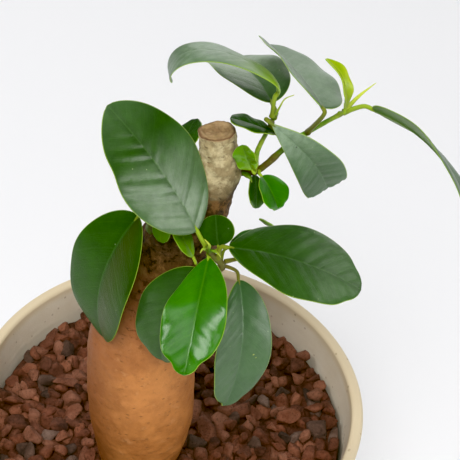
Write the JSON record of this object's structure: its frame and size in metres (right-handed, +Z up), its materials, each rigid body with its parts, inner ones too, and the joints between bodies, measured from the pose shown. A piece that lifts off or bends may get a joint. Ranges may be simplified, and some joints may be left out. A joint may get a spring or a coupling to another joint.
{
  "type": "potted ginseng ficus",
  "caption": "Ginseng ficus with a swollen, cut-topped trunk, leafy side shoots and broad glossy leaves, standing in a plain tapered round pot topped with dark crushed stone.",
  "frame": {"origin": "centre of the pot's flat foot, where it stands", "axes": "+Z up; -Y towards the viewer, on the side that the leaves of the lower shoot lean to; +X to the viewer's right, the side of the tall right shoot"},
  "size_m": [0.1622, 0.1498, 0.3062],
  "materials": {
    "pot_stoneware": "matte cream stoneware with a bare warm rim",
    "potting_soil": "dark damp potting soil, crumbly",
    "lava_stone": "rough reddish brown crushed lava stone",
    "bark": "smooth orange-brown bark, darker and rougher at the neck, pale above",
    "green_twig": "green to brown young bark",
    "leaf_blade": "thick waxy leaf, deep green with a light midrib, semi-gloss",
    "young_leaf": "lime yellow young leaf, soft sheen"
  },
  "bodies": {
    "root": {"pot": "pot_stoneware", "potting_soil": "potting_soil", "stone_mulch": "lava_stone", "trunk": "bark", "lower_shoot": "green_twig", "left_shoot": "green_twig", "right_shoot": "green_twig", "lower_leaf_up": "leaf_blade", "lower_leaf_front": "leaf_blade", "lower_leaf_front_left": "leaf_blade", "lower_leaf_front_right": "leaf_blade", "lower_leaf_right": "leaf_blade", "lower_leaf_inner": "leaf_blade", "lower_leaf_behind": "leaf_blade", "lower_leaf_far": "leaf_blade", "trunk_leaf_small": "leaf_blade", "left_leaf_hanging": "leaf_blade", "left_leaf_small": "leaf_blade", "left_leaf_back": "leaf_blade", "left_leaf_tiny": "leaf_blade", "right_leaf_small": "leaf_blade", "right_leaf_round": "leaf_blade", "right_leaf_narrow": "leaf_blade", "upper_leaf_short": "leaf_blade", "upper_leaf_torn": "leaf_blade", "upper_leaf_arched": "leaf_blade", "upper_leaf_back": "leaf_blade", "upper_leaf_far": "leaf_blade", "upper_leaf_right": "leaf_blade", "upper_leaf_young": "young_leaf"}
  },
  "joints": []
}
